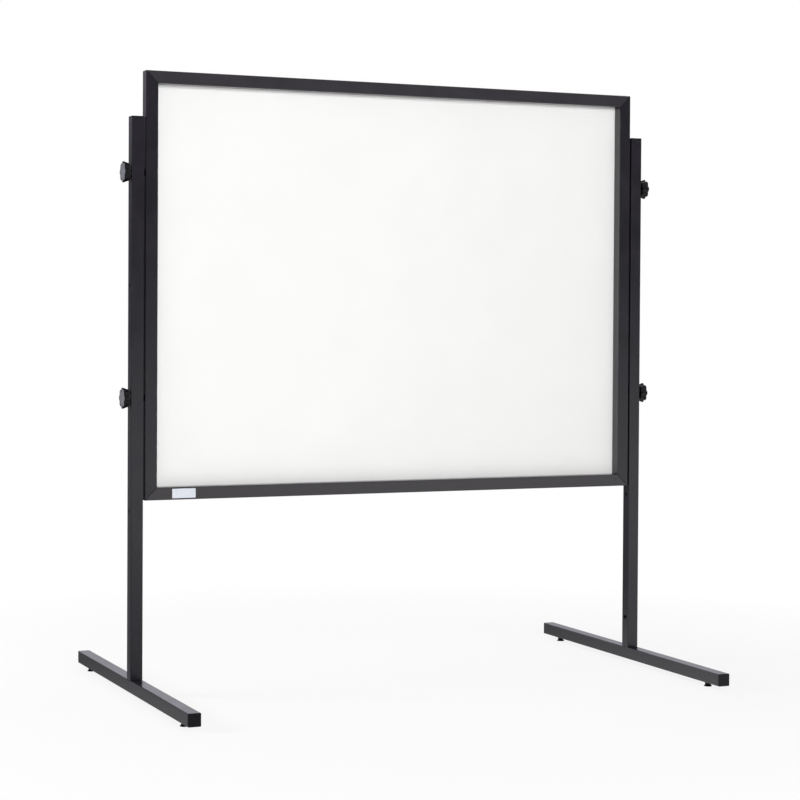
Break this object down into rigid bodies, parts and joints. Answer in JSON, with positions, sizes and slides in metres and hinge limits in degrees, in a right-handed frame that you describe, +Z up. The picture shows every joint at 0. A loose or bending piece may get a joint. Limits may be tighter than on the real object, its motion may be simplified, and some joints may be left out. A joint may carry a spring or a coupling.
{
  "type": "projection screen",
  "caption": "Free-standing projection screen: white sheet in a black square-tube frame, clamped by star knobs between two posts on long floor feet with levelling glides.",
  "frame": {"origin": "on the floor under the middle of the screen, where the glide pads rest", "axes": "+X along the screen's width to the viewer's right, -Y towards the viewer, +Z up"},
  "size_m": [1.4052, 0.91, 1.473],
  "materials": {
    "coated_tube": "satin black powder coat on square steel tube",
    "moulded_plastic": "black moulded plastic, fine satin texture",
    "zinc_steel": "bright zinc-plated steel",
    "black_steel": "black oxide steel",
    "screen_sheet": "matt white coated projection cloth",
    "glide_plastic": "black nylon"
  },
  "bodies": {
    "frame_and_stands": {"frame_top_rail": "coated_tube", "frame_bottom_rail": "coated_tube", "frame_left_stile": "coated_tube", "frame_right_stile": "coated_tube", "frame_connector_top_left": "moulded_plastic", "frame_connector_top_right": "moulded_plastic", "frame_connector_bottom_left": "moulded_plastic", "frame_connector_bottom_right": "moulded_plastic", "projection_sheet": "screen_sheet", "left_post": "coated_tube", "left_post_cap": "moulded_plastic", "left_foot_bar": "coated_tube", "left_foot_cap_front": "moulded_plastic", "left_foot_cap_rear": "moulded_plastic", "left_foot_spigot": "coated_tube", "left_foot_screw": "black_steel", "left_upper_spacer": "moulded_plastic", "left_upper_rivet_nut": "black_steel", "left_lower_spacer": "moulded_plastic", "left_lower_rivet_nut": "black_steel", "left_front_glide_insert": "black_steel", "left_rear_glide_insert": "black_steel", "right_post": "coated_tube", "right_post_cap": "moulded_plastic", "right_foot_bar": "coated_tube", "right_foot_cap_front": "moulded_plastic", "right_foot_cap_rear": "moulded_plastic", "right_foot_spigot": "coated_tube", "right_foot_screw": "black_steel", "right_upper_spacer": "moulded_plastic", "right_upper_rivet_nut": "black_steel", "right_lower_spacer": "moulded_plastic", "right_lower_rivet_nut": "black_steel", "right_front_glide_insert": "black_steel", "right_rear_glide_insert": "black_steel"},
    "left_upper_clamp_washer": {"left_upper_washer": "zinc_steel"},
    "left_upper_clamp_knob": {"left_upper_knob": "moulded_plastic", "left_upper_stud": "zinc_steel"},
    "left_lower_clamp_washer": {"left_lower_washer": "zinc_steel"},
    "left_lower_clamp_knob": {"left_lower_knob": "moulded_plastic", "left_lower_stud": "zinc_steel"},
    "left_front_glide_foot": {"left_front_glide_pad": "glide_plastic"},
    "left_front_glide_screw": {"left_front_glide_stem": "black_steel"},
    "left_rear_glide_foot": {"left_rear_glide_pad": "glide_plastic"},
    "left_rear_glide_screw": {"left_rear_glide_stem": "black_steel"},
    "right_upper_clamp_washer": {"right_upper_washer": "zinc_steel"},
    "right_upper_clamp_knob": {"right_upper_knob": "moulded_plastic", "right_upper_stud": "zinc_steel"},
    "right_lower_clamp_washer": {"right_lower_washer": "zinc_steel"},
    "right_lower_clamp_knob": {"right_lower_knob": "moulded_plastic", "right_lower_stud": "zinc_steel"},
    "right_front_glide_foot": {"right_front_glide_pad": "glide_plastic"},
    "right_front_glide_screw": {"right_front_glide_stem": "black_steel"},
    "right_rear_glide_foot": {"right_rear_glide_pad": "glide_plastic"},
    "right_rear_glide_screw": {"right_rear_glide_stem": "black_steel"}
  },
  "joints": [
    {"name": "left_upper_clamp_travel", "type": "slide", "parent": "frame_and_stands", "child": "left_upper_clamp_washer", "axis": [-1, 0, 0], "range_m": [0, 0.012]},
    {"name": "left_upper_clamp_turn", "type": "hinge", "parent": "left_upper_clamp_washer", "child": "left_upper_clamp_knob", "pos_m": [-0.684, 0, 1.234], "axis": [-1, 0, 0], "range_deg": [0, 3440]},
    {"name": "left_lower_clamp_travel", "type": "slide", "parent": "frame_and_stands", "child": "left_lower_clamp_washer", "axis": [-1, 0, 0], "range_m": [0, 0.012]},
    {"name": "left_lower_clamp_turn", "type": "hinge", "parent": "left_lower_clamp_washer", "child": "left_lower_clamp_knob", "pos_m": [-0.684, 0, 0.704], "axis": [-1, 0, 0], "range_deg": [0, 3440]},
    {"name": "left_front_glide_travel", "type": "slide", "parent": "frame_and_stands", "child": "left_front_glide_foot", "axis": [0, 0, -1], "range_m": [0, 0.012]},
    {"name": "left_front_glide_turn", "type": "hinge", "parent": "left_front_glide_foot", "child": "left_front_glide_screw", "pos_m": [-0.669, -0.382, 0], "axis": [0, 0, -1], "range_deg": [0, 3440]},
    {"name": "left_rear_glide_travel", "type": "slide", "parent": "frame_and_stands", "child": "left_rear_glide_foot", "axis": [0, 0, -1], "range_m": [0, 0.012]},
    {"name": "left_rear_glide_turn", "type": "hinge", "parent": "left_rear_glide_foot", "child": "left_rear_glide_screw", "pos_m": [-0.669, 0.382, 0], "axis": [0, 0, -1], "range_deg": [0, 3440]},
    {"name": "right_upper_clamp_travel", "type": "slide", "parent": "frame_and_stands", "child": "right_upper_clamp_washer", "axis": [1, 0, 0], "range_m": [0, 0.012]},
    {"name": "right_upper_clamp_turn", "type": "hinge", "parent": "right_upper_clamp_washer", "child": "right_upper_clamp_knob", "pos_m": [0.684, 0, 1.234], "axis": [1, 0, 0], "range_deg": [0, 3440]},
    {"name": "right_lower_clamp_travel", "type": "slide", "parent": "frame_and_stands", "child": "right_lower_clamp_washer", "axis": [1, 0, 0], "range_m": [0, 0.012]},
    {"name": "right_lower_clamp_turn", "type": "hinge", "parent": "right_lower_clamp_washer", "child": "right_lower_clamp_knob", "pos_m": [0.684, 0, 0.704], "axis": [1, 0, 0], "range_deg": [0, 3440]},
    {"name": "right_front_glide_travel", "type": "slide", "parent": "frame_and_stands", "child": "right_front_glide_foot", "axis": [0, 0, -1], "range_m": [0, 0.012]},
    {"name": "right_front_glide_turn", "type": "hinge", "parent": "right_front_glide_foot", "child": "right_front_glide_screw", "pos_m": [0.669, -0.382, 0], "axis": [0, 0, -1], "range_deg": [0, 3440]},
    {"name": "right_rear_glide_travel", "type": "slide", "parent": "frame_and_stands", "child": "right_rear_glide_foot", "axis": [0, 0, -1], "range_m": [0, 0.012]},
    {"name": "right_rear_glide_turn", "type": "hinge", "parent": "right_rear_glide_foot", "child": "right_rear_glide_screw", "pos_m": [0.669, 0.382, 0], "axis": [0, 0, -1], "range_deg": [0, 3440]}
  ],
  "couplings": [
    {"joint": "left_upper_clamp_travel", "follows": "left_upper_clamp_turn", "m_per_rad": 0.00019894},
    {"joint": "left_lower_clamp_travel", "follows": "left_lower_clamp_turn", "m_per_rad": 0.00019894},
    {"joint": "left_front_glide_travel", "follows": "left_front_glide_turn", "m_per_rad": 0.00019894},
    {"joint": "left_rear_glide_travel", "follows": "left_rear_glide_turn", "m_per_rad": 0.00019894},
    {"joint": "right_upper_clamp_travel", "follows": "right_upper_clamp_turn", "m_per_rad": 0.00019894},
    {"joint": "right_lower_clamp_travel", "follows": "right_lower_clamp_turn", "m_per_rad": 0.00019894},
    {"joint": "right_front_glide_travel", "follows": "right_front_glide_turn", "m_per_rad": 0.00019894},
    {"joint": "right_rear_glide_travel", "follows": "right_rear_glide_turn", "m_per_rad": 0.00019894}
  ]
}
